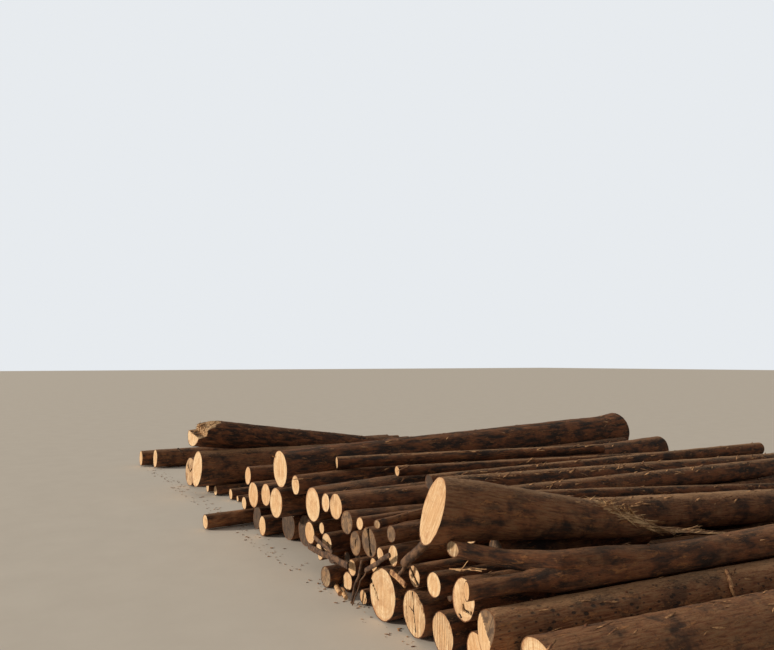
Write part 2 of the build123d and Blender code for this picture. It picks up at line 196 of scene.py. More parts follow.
# Near ends cut out of square: how fast the cut falls back to the right and
# upwards, and how far it reaches out, in metres.
SQUARE = (0.0, 0.0, 0.0)
LIMB_CUT = (0.45, 0.0, 0.0)
CUTS = {
    "forked_log": (-0.3, 0.1, 0.0),
    "big_butt_log": (-0.18, 0.25, 0.025),
    "knotty_log": (-0.25, 0.0, 0.06),
    "near_outer_log": (0.0, 0.0, -0.03),
    "large_end_log": (0.0, 0.06, 0.0),
    "hollow_end_log": (-0.05, 0.05, 0.0),
}
# How clearly an end shows the ridges of its saw.
RIDGED = {"ridged_end_log": 1.0, "split_end_log": 0.7, "cracked_end_log": 0.4, "big_butt_log": 0.35}
# How finely a log is made, as shares of the usual number of points around it,
# of rows along it and of rings in its ends.
CLOSE_DETAIL = (1.6, 2.2, 1.5)
USUAL_DETAIL = (1.0, 1.0, 1.0)
HIDDEN_DETAIL = (0.7, 0.7, 0.7)
# The logs that are seen from close by, and how the names of hidden ones begin.
CLOSE_UP = {
    "near_outer_log", "knotty_log", "forked_log", "big_butt_log", "long_top_log", "hollow_end_log",
    "cracked_end_log", "split_end_log", "ridged_end_log", "near_hidden_log", "hinge_butt_log",
    "large_end_log", "pale_top_log", "short_end_log_a",
}
HIDDEN = "hidden_"

# How thickly loose strips lie on a log, as a share of the strip density.
STRIPPED = {
    "shaggy_top_log": 6.0, "dark_top_log": 4.0, "pale_top_log": 3.0, "thin_top_log": 4.0,
    "far_reaching_top_log": 3.0, "crossing_pole": 2.0, "recessed_pole": 2.0,
    "big_butt_log": 0.5, "long_top_log": 0.5, "hinge_butt_log": 0.7, "forked_log": 0.7,
    "knotty_log": 0.5, "near_outer_log": 0.5, "hollow_end_log": 0.8, "large_end_log": 0.6,
    "weathered_butt_log": 0.6, "brown_pole": 1.0, "top_end_log_b": 1.4,
    "top_end_log_a": 0.8, "top_end_log_c": 0.6, "short_top_log": 0.8, "bright_end_log_a": 0.5,
}
STRIP_WIDTH = 0.0026
# Logs with branch stubs, and how many stubs there are on a square metre.
STUBBED = ("knotty_log", "near_outer_log", "forked_log", "hollow_end_log")
STUB_DENSITY = 7.0
STUB_WIDTH = 0.008
# The splintered logs: how long their splinters are and which way they point.
SPLINTERED = {"big_butt_log": (0.15, 1), "hinge_butt_log": (0.06, -1)}
SPLINTER_DENSITY = 700.0
SPLINTER_WIDTH = 0.0035
SPLINTER_FALL = 0.45         # how far they point down
SPLINTER_STRAY = 1.1         # how far they stray, as a share of what the strips do
# How far up a face has to look to carry a strip, a splinter or a stub: 1 is
# straight up, and -1 straight down.
STRIP_FACING = 0.5
SPLINTER_FACING = -0.4
STUB_FACING = -0.2

# The band of crumbs along the foot of the stack, in metres: how far in from the
# front of the box it starts and ends, and how far it stops short of the row.
CRUMBS_FROM = 0.2
CRUMBS_TO = 0.4
CRUMBS_SHORT_NEAR = 0.5
CRUMBS_SHORT_FAR = 0.3
CRUMB_LIFT = 0.001
CRUMB_SIZE = 0.0045

# Where the random draws of the pieces start.
ROUND_LOG_SEED = 11
WORKED_LOG_SEED = 301
STRIP_SEED = 5
SPLINTER_SEED = 77
STUB_SEED = 40
STICK_SEED = 3
CRUMB_SEED = 8

# Tints of sawn, aged, torn and loose wood.
STAIN = (0.50, 0.26, 0.10)
PALE_STREAK = (0.88, 0.72, 0.47)
SAW_MARK = (0.36, 0.165, 0.065)
DARK_PATCH = (0.42, 0.20, 0.08)
RUB = (0.28, 0.13, 0.055)
OUTER_RINGS = (0.36, 0.15, 0.055)
OLD_MARK = (0.085, 0.045, 0.024)
OLD_PATCH = (0.34, 0.19, 0.085)
OLD_SPOT = (0.055, 0.028, 0.015)
RIDGE = (0.27, 0.12, 0.05)
# Near black inside sunk cuts, cracks and hollows: painted shade.
SCAR_SHADE = (0.03, 0.017, 0.01)
RIDGE_SPACING = 0.017        # between two ridges of a saw, in metres
TORN_DARK = (0.27, 0.13, 0.055)
TORN_PALE = (0.76, 0.51, 0.27)
TORN_STAIN = (0.12, 0.055, 0.025)
# Painted shade in the gap above the hinged log's break.
TORN_GAP_SHADE = (0.03, 0.016, 0.01)
# Each kind of loose wood: its name, its pale tint and its dark one.
LOOSE = {
    "dead": ("Dead wood", (0.17, 0.088, 0.045), (0.045, 0.021, 0.011)),
    "pale": ("Pale splinters", (0.66, 0.42, 0.21), (0.34, 0.17, 0.075)),
    "strips": ("Bark strips", (0.56, 0.31, 0.145), (0.15, 0.062, 0.026)),
}
FLOOR_DARK = (0.56, 0.52, 0.465)
FLOOR_PALE = (0.64, 0.60, 0.54)

# The slots of a dressed log's three finishes.
BARK, SAWN, TORN = range(3)

# Loose wood, in metres: from, to, thickness, how crooked, how flat (1 is round),
# and its wood.
STICKS = [
    ("strip_over_knotty_log", (-0.612, -3.54, 0.382), (-0.674, -3.602, 0.316), 0.011, 0.001, 1.0, "strips"),
    ("strip_end_on_knotty_log", (-0.674, -3.602, 0.318), (-0.662, -3.614, 0.252), 0.01, 0.003, 1.0, "strips"),
    ("bark_between_top_logs", (1.56, -2.5, 0.507), (2.0, -2.48, 0.507), 0.009, 0.002, 1.0, "dead"),
    ("strand_on_top_end", (-1.627, -1.512, 0.456), (-1.668, -1.45, 0.6), 0.0035, 0.008, 1.0, "dead"),
    ("stub_on_far_log", (-1.66, 3.91, 0.2), (-1.715, 3.968, 0.262), 0.013, 0.004, 1.0, "dead"),
    ("slab_by_mid_end", (-2.064, -1.332, 0.193), (-2.064, -1.932, 0.212), 0.024, 0.008, 0.3, "dead"),
    ("slab_by_low_end", (-2.056, -1.407, 0.272), (-2.058, -1.698, 0.232), 0.017, 0.006, 0.4, "dead"),
    ("slab_under_split_end", (-2.066, -2.452, 0.318), (-2.066, -2.605, 0.286), 0.019, 0.004, 0.4, "strips"),
    ("slab_over_cracked_end", (-2.074, -2.455, 0.412), (-2.07, -2.17, 0.248), 0.015, 0.010, 0.45, "dead"),
    ("long_twig", (-2.072, -2.19, 0.258), (-2.084, -2.029, 0.006), 0.0045, 0.010, 1.0, "dead"),
    ("broken_branch", (-2.02, -2.77, 0.56), (-2.07, -2.6, 0.40), 0.027, 0.008, 1.0, "dead"),
    ("broken_branch_tip", (-2.068, -2.61, 0.41), (-2.072, -2.555, 0.335), 0.010, 0.006, 1.0, "dead"),
    ("twig_on_hollow_end_a", (-2.01, -2.93, 0.452), (-1.93, -3.09, 0.47), 0.0032, 0.008, 1.0, "pale"),
    ("twig_on_hollow_end_b", (-2.0, -2.967, 0.455), (-1.9, -3.09, 0.475), 0.0025, 0.010, 1.0, "pale"),
    ("twig_on_hollow_end_c", (-1.99, -2.99, 0.452), (-1.95, -3.02, 0.515), 0.0022, 0.006, 1.0, "pale"),
    ("short_stick_a", (-2.026, -1.692, 0.02), (-2.079, -1.854, 0.02), 0.016, 0.004, 1.0, "pale"),
    ("short_stick_b", (-2.027, -1.78, 0.018), (-2.079, -1.935, 0.018), 0.014, 0.004, 1.0, "pale"),
    ("shaded_stick", (-2.066, -2.119, 0.298), (-2.08, -2.011, 0.012), 0.009, 0.01, 1.0, "dead"),
]


class LogShape(PropertyGroup):
    """Sizes of the bark and of the sawn ends."""

    bark_thickness: FloatProperty(
        name="Bark thickness", description="Dark rim that the bark makes round a sawn end",
        default=0.005, min=0.001, max=0.02, subtype="DISTANCE", unit="LENGTH")
    bark_relief: FloatProperty(
        name="Bark relief", description="How deep the hollows of the bark lie",
        default=0.005, min=0.0, max=0.02, subtype="DISTANCE", unit="LENGTH")
    row_spacing: FloatProperty(
        name="Row spacing", description="Distance between the rows of points along a log",
        default=0.055, min=0.01, max=0.5, subtype="DISTANCE", unit="LENGTH")
    end_tilt: FloatProperty(
        name="End tilt", description="Most that a saw cut is out of square",
        default=math.radians(2.5), min=0.0, max=math.radians(8), subtype="ANGLE")
    ring_spacing: FloatProperty(
        name="Ring spacing", description="Distance between two year rings",
        default=0.006, min=0.001, max=0.02, subtype="DISTANCE", unit="LENGTH")


class LogColours(PropertyGroup):
    """Colours of bark and wood."""

    dark_bark: FloatVectorProperty(
        name="Dark bark", description="Hollows of the bark", subtype="COLOR",
        size=3, min=0.0, max=1.0, default=(0.024, 0.011, 0.0065))
    red_bark: FloatVectorProperty(
        name="Red bark", description="Bark of most of the logs", subtype="COLOR",
        size=3, min=0.0, max=1.0, default=(0.215, 0.074, 0.025))
    grey_bark: FloatVectorProperty(
        name="Grey bark", description="Bark of the outermost logs", subtype="COLOR",
        size=3, min=0.0, max=1.0, default=(0.270, 0.135, 0.060))
    inner_bark: FloatVectorProperty(
        name="Inner bark", description="Where the bark has flaked off", subtype="COLOR",
        size=3, min=0.0, max=1.0, default=(0.400, 0.168, 0.056))
    dust: FloatVectorProperty(
        name="Dust", description="Dust on the upper sides", subtype="COLOR",
        size=3, min=0.0, max=1.0, default=(0.470, 0.275, 0.140))
    sapwood: FloatVectorProperty(
        name="Sapwood", description="Fresh sawn wood", subtype="COLOR",
        size=3, min=0.0, max=1.0, default=(0.780, 0.590, 0.360))
    heartwood: FloatVectorProperty(
        name="Heartwood", description="The middle of a sawn end", subtype="COLOR",
        size=3, min=0.0, max=1.0, default=(0.620, 0.360, 0.165))
    weathered: FloatVectorProperty(
        name="Weathered wood", description="Old sawn ends", subtype="COLOR",
        size=3, min=0.0, max=1.0, default=(0.230, 0.135, 0.066))


class StackLitter(PropertyGroup):
    """Loose bark and splinters."""

    strip_density: FloatProperty(
        name="Strip density", description="Loose bark strips on a square metre of log",
        default=48.0, min=0.0, max=400.0)
    strip_length: FloatProperty(
        name="Strip length", description="Length of a loose bark strip",
        default=0.07, min=0.01, max=0.3, subtype="DISTANCE", unit="LENGTH")
    crumb_count: IntProperty(
        name="Crumbs", description="Bark crumbs along the foot of the stack",
        default=320, min=0, max=5000)


# Reading the logs


def loose_parts(node):
    """The points of each log in a node, in a fixed order."""
    mesh = bmesh.new()
    mesh.from_mesh(frame["nodes"][node].data)
    bmesh.ops.remove_doubles(mesh, verts=mesh.verts, dist=1e-5)
    mesh.verts.index_update()
    seen = [False] * len(mesh.verts)
    parts = []
    for first in mesh.verts:
        if seen[first.index]:
            continue
        seen[first.index] = True
        waiting = [first]
        points = []
        while waiting:
            vert = waiting.pop()
            points.append(vert.co.copy())
            for edge in vert.link_edges:
                other = edge.other_vert(vert)
                if not seen[other.index]:
                    seen[other.index] = True
                    waiting.append(other)
        parts.append(points)
    mesh.free()
    return parts


def middle(points):
    """The mean of some points."""
    total = Vector()
    for point in points:
        total += point
    return total / len(points)


def groups_along(points, forward, gap):
    """The points in groups that a gap along a direction keeps apart."""
    ranked = sorted(points, key=lambda point: point.dot(forward))
    groups = [[ranked[0]]]
    for before, point in zip(ranked, ranked[1:]):
        if (point - before).dot(forward) > gap:
            groups.append([])
        groups[-1].append(point)
    return groups


class Form:
    """A log's axis and thickness, read from its round stations."""

    def __init__(self, stations):
        self.start = stations[0][0]
        self.end = stations[-1][0]
        self.forward = (stations[-1][0] - stations[0][0]).normalized()
        self.right = self.forward.cross(UP).normalized()
        self.up = self.right.cross(self.forward)
        self.stations = [
            ((centre - self.start).dot(self.forward), centre, radius)
            for centre, radius in stations
        ]
        self.length = self.stations[-1][0]

    def at(self, along):
        """The centre and radius at a distance from the near end."""
        for low, high in zip(self.stations, self.stations[1:]):
            if along <= high[0] or high is self.stations[-1]:
                share = (along - low[0]) / (high[0] - low[0])
                return low[1].lerp(high[1], share), low[2] + (high[2] - low[2]) * share


def run_of(points):
    """Roughly the direction of a log, from its two thirds."""
    ranked = sorted(points, key=lambda point: point.x)
    third = max(1, len(ranked) // 3)
    return (middle(ranked[-third:]) - middle(ranked[:third])).normalized()


def read_form(points, near_cut=0.0, far_cut=0.0):
    """The form of a log from its points, past a torn or hinged end."""
    forward = run_of(points)
    for gap in RING_GAPS:
        first = min(point.dot(forward) for point in points) + near_cut
        last = max(point.dot(forward) for point in points) - far_cut
        kept = [
            point for point in points
            if (not near_cut or point.dot(forward) > first) and (not far_cut or point.dot(forward) < last)
        ]
        groups = groups_along(kept, forward, gap)
        forward = (middle(groups[-1]) - middle(groups[0])).normalized()
    stations = []
    for group in groups:
        centre = middle(group)
        radius = sum((point - centre).length for point in group) / len(group)
        stations.append((centre, radius))
    if near_cut:
        centre, radius = stations[0]
        reach = min((point - centre).dot(forward) for point in points)
        stations.insert(0, (centre + forward * reach, radius))
    if far_cut:
        centre, radius = stations[-1]
        reach = max((point - centre).dot(forward) for point in points)
        stations.append((centre + forward * reach, radius))
    return Form(stations)


def read_fork(points):
    """The forms of the forked log's trunk and of its upper limb."""
    forward = run_of(points)
    for gap in RING_GAPS[:4]:
        groups = groups_along(points, forward, gap)[-3:]
        forward = (middle(groups[-1]) - middle(groups[0])).normalized()
    ring = middle(groups[0])
    far = middle(groups[-1])
    thick = sum((point - ring).length for point in groups[0]) / len(groups[0])
    end = sum((point - far).length for point in groups[-1]) / len(groups[-1])
    near = ring - forward * FORK_STRETCH
    trunk = Form([
        (near, LOWER_LIMB_RADIUS),
        (near + forward * FLARE_START, LOWER_LIMB_RADIUS),
        (near + forward * FORK_AT, thick),
        (ring, thick),
        (far, end),
    ])
    crotch = near + forward * FORK_AT
    away = []
    for point in points:
        along = (point - near).dot(forward)
        if along < FORK_AT / 2 and (point - near - forward * along).length > LIMB_APART * LOWER_LIMB_RADIUS:
            away.append(point)
    heading = (middle(away) - crotch).normalized()
    for _ in range(3):
        tip_at = max((point - crotch).dot(heading) for point in away)
        tip = middle([point for point in away if (point - crotch).dot(heading) > tip_at - 0.02])
        heading = (tip - crotch).normalized()
    raised = UP * LIMB_RISE
    web = near + forward * WEB_END
    way = (
        tip + raised + heading * LIMB_REACH, tip.lerp(crotch, 0.5) + raised, crotch + raised * 1.5,
        crotch.lerp(web, 0.45) + raised, web,
    )
    limb = Form([(centre, LIMB_RADIUS * swell) for centre, swell in zip(way, LIMB_SWELL)])
    return trunk, limb


# Making the dressed logs


class Draft:
    """Points, faces and values of one piece, gathered log by log."""

    def __init__(self):
        self.points = []
        self.faces = []
        self.slots = []
        self.values = {"grain": [], "ring": [], "look": [], "saw": []}

    def point(self, place, **values):
        self.points.append(place)
        for name, value in values.items():
            self.values[name].append(value)
        return len(self.points) - 1

    def face(self, corners, slot):
        self.faces.append(corners)
        self.slots.append(slot)

    def made(self, name, materials):
        """The piece as an object at the origin, with its values as attributes."""
        mesh = bpy.data.meshes.new(name)
        mesh.from_pydata(self.points, [], self.faces)
        for material in materials:
            mesh.materials.append(material)
        mesh.polygons.foreach_set("material_index", self.slots)
        mesh.polygons.foreach_set("use_smooth", [True] * len(self.faces))
        for kind, rows in self.values.items():
            layer = mesh.attributes.new(kind, "FLOAT_VECTOR", "POINT")
            layer.data.foreach_set("vector", [number for row in rows for number in row])
        mesh.set_sharp_from_angle(angle=SHARP_ANGLE)
        mesh.update()
        piece = bpy.data.objects.new(name, mesh)
        bpy.context.scene.collection.objects.link(piece)
        return piece


def clamped(value):
    return min(1.0, max(0.0, value))


def near_line(place, start, end):
    """The distance of a point from a stretch of line, all in radii."""
    run = Vector(end) - Vector(start)
    share = clamped((place - Vector(start)).dot(run) / max(run.length_squared, 1e-9))
    return (place - Vector(start) - run * share).length


def scar_at(place, scars):
    """How deep a scar lies at a point of an end, and how dark its painted shade is."""
    deepest = 0.0
    darkest = 0.0
    for start, end, width, depth in scars:
        wander = 0.35 * width * noise.noise(Vector((place.x * 9, place.y * 9, width)))
        away = near_line(place, start, end) + wander
        strength = clamped(1.6 - 1.6 * away / width)
        deepest = max(deepest, depth * strength)
        darkest = max(darkest, strength)
    return deepest, darkest


def above_hinge(across, height, size):
    """How high a point of the hinged end is above the break: 0 at it, 1 at the top."""
    return (height / size - HINGE_HEIGHT + HINGE_SLOPE * across / size) / (1 - HINGE_HEIGHT)


class Work:
    """What was done to the ends of a log."""

    def __init__(self, scars=(), second_cut=None, ridges=0.0, slant=SQUARE, torn=False, hinged=False):
        self.scars = scars
        self.second_cut = second_cut
        self.ridges = ridges
        self.slant = slant
        self.torn = torn
        self.hinged = hinged


def work_of(node):
    """What was done to the ends of a node's logs."""
    return Work(
        scars=SCARS.get(node, ()), second_cut=SECOND_CUTS.get(node),
        ridges=RIDGED.get(node, 0.0), slant=CUTS.get(node, SQUARE),
        torn=(node == "big_butt_log"), hinged=(node == "hinge_butt_log"))


class Log:
    """A log that grows its bark and its ends into a draft.

    Side 0 is its near end and side 1 its far end. Places on an end are given
    as across, to the right of the axis, and height, above it.
    """

    def __init__(self, draft, shape, draw, form, look, detail, work):
        self.draft = draft
        self.shape = shape
        self.form = form
        self.work = work
        tone, self.weather, self.dust = look
        self.radii = (form.at(0)[1], form.at(form.length)[1])
        radius = max(self.radii)
        self.shift = draw.uniform(0, 60)
        self.lean = [(draw.uniform(-1, 1), draw.uniform(-1, 1)) for _ in range(2)]
        self.pith = [draw.uniform(-0.1, 0.1) * radius for _ in range(2)]
        self.saw_angle = draw.uniform(-0.5, 0.5) * (0.2 if work.ridges else 1.0)
        self.oval = draw.uniform(0, math.pi)
        self.tone = clamped(tone + draw.uniform(-0.12, 0.12))
        around, rows, self.ring_share = detail
        self.around = max(14, int(round((16 + 90 * radius) * around)))
        self.rows = max(6, int(form.length / shape.row_spacing * rows))
        self.tilt = math.tan(shape.end_tilt)
        body = self.body()
        self.end(0, body[0])
        self.end(1, body[-1])

    def angle(self, number):
        """The direction of a column of points, from the underside of the log."""
        return 2 * math.pi * number / self.around - math.pi / 2

    def hinge_cut(self, across, height, size):
        """Flat below the break, and broken far back above it."""
        rise = above_hinge(across, height, size)
        rough = noise.noise(Vector((across * 45, height * 16, self.shift)))
        if rise <= 0:
            return 0.004 * (1 + rough)
        back = 0.4 * min(1.0, rise / 0.08) + 0.9 * clamped((rise - 0.5) / 0.5) ** 1.2
        return HINGE_DEPTH * back * (1 + 0.2 * rough)

    def tear_cut(self, across, height, size):
        """A slab below, and a face that slants down to it above."""
        share = clamped(0.5 + 0.5 * height / size)
        rough = noise.noise(Vector((across * 70, height * 12, self.shift)))
        slope = SLAB_LENGTH * min(1.0, share / SLAB_SHARE)
        slope += SPLIT_LENGTH * max(0.0, share - SLAB_SHARE) / (1 - SLAB_SHARE)
        return slope * (1 + 0.06 * rough) + 0.012 * abs(rough)

    def past_second_cut(self, across, height, size):
        """How far a point lies beyond the line where the second cut starts."""
        turn, begins, _ = self.work.second_cut
        turn = math.radians(turn)
        return across * math.cos(turn) + height * math.sin(turn) - begins * size

    def cut(self, side, across, height, size):
        """Where the log is cut off, measured inwards from its end."""
        if side == 0 and self.work.hinged:
            return self.hinge_cut(across, height, size)
        if side == 1 and self.work.torn:
            return self.tear_cut(across, height, size)
        a, b = self.lean[side]
        inward = self.tilt * (a * across + b * height + math.hypot(a, b) * size)
        if side == 0:
            right, up, out = self.work.slant
            inward += right * across + up * height - out
        if side == 0 and self.work.second_cut:
            inward += max(0.0, self.past_second_cut(across, height, size)) * self.work.second_cut[2]
        return inward

    def point(self, along, across, height, centre, ring, grey, scar=0.0):
        """A point with its places in the grain, the rings and the saw marks."""
        turned = (math.cos(self.saw_angle), math.sin(self.saw_angle))
        saw_across = across * turned[0] - height * turned[1]
        saw_along = across * turned[1] + height * turned[0]
        return self.draft.point(
            centre + self.form.right * across + self.form.up * height,
            grain=(along + self.shift, across, height),
            ring=ring,
            look=(self.tone, grey, scar),
            saw=(saw_across + self.shift, saw_along, self.dust),
        )

    def bark_point(self, angle, first, last, share):
        """A point of the bark, between the two cuts at its angle."""
        right = math.cos(angle)
        high = math.sin(angle)
        along = first + (last - first) * share
        centre, size = self.form.at(along)
        swell = noise.noise(Vector((along * 2.1 + self.shift, right * 1.3, high * 1.3)))
        bark = noise.fractal(
            Vector((along * 7 + self.shift, right * size * 34, high * size * 34)), 0.7, 2.1, 3)
        depth = self.shape.bark_relief * min(1.4, 0.5 + size * 5)
        inset = depth * (1.0 - 0.5 * swell) + depth * 0.45 * min(1.0, max(-1.0, bark))
        inset += 0.018 * size * (1 + math.cos(2 * (angle - self.oval)))
        if self.work.torn:
            torn = clamped(1.6 - (last - along) / TORN_SKIN)
            inset += 0.012 * torn * abs(noise.noise(Vector((along * 9, right * 14, high * 14))))
        reach = size - max(0.0004, inset)
        arc = size * (angle - math.pi / 2)
        wrap = (along + self.shift, arc + self.shift, size)
        return self.point(along, right * reach, high * reach, centre, wrap, self.weather)

    def body(self):
        """Rows of points from end to end, and the faces between them."""
        near, far = self.radii
        columns = []
        for j in range(self.around):
            angle = self.angle(j)
            right = math.cos(angle)
            high = math.sin(angle)
            first = self.cut(0, right * near, high * near, near)
            last = self.form.length - self.cut(1, right * far, high * far, far)
            columns.append((angle, first, last))
        rows = [
            [self.bark_point(*column, i / self.rows) for column in columns]
            for i in range(self.rows + 1)
        ]
        for i, (low, high_row) in enumerate(zip(rows, rows[1:])):
            left = self.form.length * (1 - (i + 0.5) / self.rows)
            for j in range(self.around):
                k = (j + 1) % self.around
                slot = TORN if self.is_skinned(j, left) else BARK
                self.draft.face((low[j], high_row[j], high_row[k], low[k]), slot)
        return rows

    def is_skinned(self, number, left):
        """Whether the bark is torn off so far from the far end."""
        if not self.work.torn or math.sin(self.angle(number)) <= -0.7:
            return False
        ragged = 1.0 + 0.9 * noise.noise(Vector((number * 0.9, self.shift, 0.0)))
        return left < TORN_SKIN * ragged

    def end(self, side, rim):
        """An end, as rings of points from the bark's rim to the middle."""
        worked = self.work.torn if side else self.work.hinged
        centre, size = self.form.at(self.form.length if side else 0.0)
        rings = max(3, int(round((5 + 40 * size) * self.ring_share)))
        if worked:
            rings = rings * 2
        wood = 1 - self.shape.bark_thickness / size
        edges = []
        for number in rim:
            edge = self.draft.points[number] - centre
            edges.append((edge.dot(self.form.right), edge.dot(self.form.up)))
        loops = [rim]
        for share in [wood] + [wood * (1 - n / rings) for n in range(1, rings)]:
            loops.append([
                self.end_point(side, across * share, height * share, size) for across, height in edges
            ])
        hub = self.end_point(side, 0.0, 0.0, size)
        for number, (outer, inner) in enumerate(zip(loops, loops[1:])):
            for j in range(self.around):
                k = (j + 1) % self.around
                slot = BARK if number == 0 else self.end_slot(side, outer[j], centre, size)
                self.end_face(side, (outer[j], outer[k], inner[k], inner[j]), slot)
        for j in range(self.around):
            k = (j + 1) % self.around
            self.end_face(side, (loops[-1][j], loops[-1][k], hub), TORN if worked else SAWN)

    def end_slot(self, side, number, centre, size):
        """Torn where the end is splintered, and sawn elsewhere."""
        if side:
            return TORN if self.work.torn else SAWN
        edge = self.draft.points[number] - centre
        rise = above_hinge(edge.dot(self.form.right), edge.dot(self.form.up), size)
        return TORN if self.work.hinged and rise > 0 else SAWN

    def end_face(self, side, corners, slot):
        self.draft.face(corners[::-1] if side else corners, slot)

    def end_point(self, side, across, height, size):
        """A point of a sawn or torn end, with its scars sunk in."""
        scars = () if side else self.work.scars
        inward = self.cut(side, across, height, size)
        grain = noise.noise(Vector((across * 90, height * 90, size * 50)))
        deep, dark = scar_at(Vector((across / size, height / size)), scars) if scars else (0.0, 0.0)
        inward += 0.0008 * (1 + grain) + deep
        # Far ends stop at 0.7, so the painted shade above 1 falls on near ends only.
        grey = min(self.weather, 0.7) if side else self.weather
        if side == 0:
            if self.work.ridges and not dark:
                dark = -self.work.ridges
            if self.work.hinged:
                # Painted shade: a band just above the break, where the cut steps back, is darkened.
                rise = above_hinge(across, height, size)
                dark = max(0.0, 1 - rise / 0.12) if rise > 0 else 0.0
            if self.work.second_cut and self.past_second_cut(across, height, size) > 0:
                grey = 1.0
        along = self.form.length - inward if side else inward
        centre, _ = self.form.at(along)
        ring = (across - self.pith[0], height - self.pith[1], size)
        return self.point(along, across, height, centre, ring, grey, dark)


# Finishes


class Value:
    """What a node gives, with arithmetic for numbers."""

    def __init__(self, nodes, socket):
        self.nodes = nodes
        self.socket = socket

    def __add__(self, other):
        return self.nodes.math("ADD", self, other)

    def __radd__(self, other):
        return self.nodes.math("ADD", other, self)

    def __sub__(self, other):
        return self.nodes.math("SUBTRACT", self, other)

    def __rsub__(self, other):
        return self.nodes.math("SUBTRACT", other, self)

    def __mul__(self, other):
        return self.nodes.math("MULTIPLY", self, other)

    def __rmul__(self, other):
        return self.nodes.math("MULTIPLY", other, self)

    def __truediv__(self, other):
        return self.nodes.math("DIVIDE", self, other)

    def __rtruediv__(self, other):
        return self.nodes.math("DIVIDE", other, self)


class Nodes:
    """A node tree in the making."""

    def __init__(self, tree):
        self.tree = tree
        tree.nodes.clear()

    def node(self, kind, settings=None, sockets=None, result=0):
        """A new node's output, or all of its outputs when no result is asked for."""
        made = self.tree.nodes.new(kind)
        for key, value in (settings or {}).items():
            setattr(made, key, value)
        for key, value in (sockets or {}).items():
            if isinstance(value, Value):
                self.tree.links.new(value.socket, made.inputs[key])
            else:
                made.inputs[key].default_value = value
        if result is None:
            return [Value(self, socket) for socket in made.outputs]
        return Value(self, made.outputs[result])

    def math(self, operation, first, second=0.0):
        return self.node("ShaderNodeMath", {"operation": operation}, {0: first, 1: second})

    def parts(self, vector):
        return self.node("ShaderNodeSeparateXYZ", None, {0: vector}, None)

    def vector(self, x=0.0, y=0.0, z=0.0):
        return self.node("ShaderNodeCombineXYZ", None, {0: x, 1: y, 2: z})

    def scaled(self, vector, scale):
        return self.node("ShaderNodeVectorMath", {"operation": "SCALE"}, {0: vector, "Scale": scale})


class Finish(Nodes):
    """A material built from a few kinds of node."""

    def __init__(self, name):
        self.material = bpy.data.materials.new(name)
        self.material.use_nodes = True
        super().__init__(self.material.node_tree)
        self.bump = {}

    def attribute(self, name):
        return self.node("ShaderNodeAttribute", {"attribute_name": name}, result="Vector")

    def stretched(self, vector, scales):
        return self.node("ShaderNodeVectorMath", {"operation": "MULTIPLY"}, {0: vector, 1: scales})

    def noise(self, vector, scale, detail=3.0, roughness=0.5):
        return self.node("ShaderNodeTexNoise", None, {
            "Vector": vector, "Scale": scale, "Detail": detail, "Roughness": roughness})

    def step(self, value, low, high):
        """0 below low, 1 above high, and smooth in between."""
        return self.node("ShaderNodeMapRange", {"interpolation_type": "SMOOTHSTEP"}, {
            "Value": value, "From Min": low, "From Max": high})

    def mix(self, factor, first, second):
        first, second = [c if isinstance(c, Value) else (*c, 1.0) for c in (first, second)]
        return self.node("ShaderNodeMix", {"data_type": "RGBA"}, {0: factor, 6: first, 7: second}, 2)

    def coated(self, colour, coats):
        """A colour under coats of others, each with its mask."""
        for mask, coat in coats:
            colour = self.mix(mask, colour, coat)
        return colour

    def relief(self, height, distance, strength=1.0):
        self.bump = {"Normal": self.node("ShaderNodeBump", None, {
            "Height": height, "Distance": distance, "Strength": strength})}

    def finished(self, colour, roughness):
        surface = self.node("ShaderNodeBsdfPrincipled", None, {
            "Base Color": colour, "Roughness": roughness, **self.bump})
        self.node("ShaderNodeOutputMaterial", None, {"Surface": surface}, None)
        return self.material


def bark_finish(colours):
    """Streaked, flaking bark, redder or greyer from log to log."""
    finish = Finish("Bark")
    grain = finish.attribute("grain")
    wrap = finish.attribute("ring")
    tone, _, _ = finish.parts(finish.attribute("look"))
    _, _, dust = finish.parts(finish.attribute("saw"))
    streaks = finish.noise(finish.stretched(grain, (4.5, 19.0, 19.0)), 1.0, 5.0, 0.68)
    ridges = finish.noise(finish.stretched(wrap, (11.0, 85.0, 0.0)), 1.0, 3.0, 0.6)
    fibres = finish.noise(finish.stretched(wrap, (40.0, 240.0, 0.0)), 1.0, 4.0, 0.7)
    blotches = finish.noise(grain, 6.5, 4.0, 0.6)
    flakes = finish.noise(finish.stretched(grain, (7.0, 26.0, 26.0)), 1.3, 5.0, 0.75)
    knots = finish.node("ShaderNodeTexVoronoi", {"voronoi_dimensions": "2D"}, {
        "Vector": finish.stretched(wrap, (15.0, 23.0, 0.0)), "Scale": 1.0, "Randomness": 1.0})

    base = finish.mix(finish.step(streaks, 0.40, 0.60), colours.dark_bark, colours.red_bark)
    scaly = finish.mix(finish.step(ridges, 0.36, 0.62), colours.red_bark, colours.grey_bark)
    bare = finish.step(flakes, 0.54, 0.63)
    ragged = knots + (fibres - 0.5) * 0.3 + (streaks - 0.5) * 0.3 + (blotches - 0.5) * 0.7
    knot = finish.step(ragged, 0.16, 0.05) * finish.step(tone, 0.45, 0.8)
    _, _, height = finish.parts(finish.node("ShaderNodeNewGeometry", result="Normal"))
    lying = finish.step(height + (fibres - 0.5) * 1.2 + (streaks - 0.5) * 0.6, 0.72, 1.1)
    body = finish.coated(base, (
        (finish.step(blotches + tone * 0.6, 0.62, 0.98), scaly),
        (finish.step(blotches, 0.5, 0.36) * 0.55, colours.dark_bark),
        (bare * 0.65, colours.inner_bark),
        (finish.step(ridges, 0.48, 0.3) * 0.5, colours.dark_bark),
        (finish.step(fibres, 0.45, 0.26) * 0.55, colours.dark_bark),
        (knot * 0.85, colours.dark_bark),
        (lying * dust, colours.dust),
    ))
    finish.relief(streaks * 0.8 + ridges * 0.45 + fibres * 0.22 + bare * 0.25 - knot * 0.3, 0.012, 1.0)
    return finish.finished(body, 0.72 + fibres * 0.25)


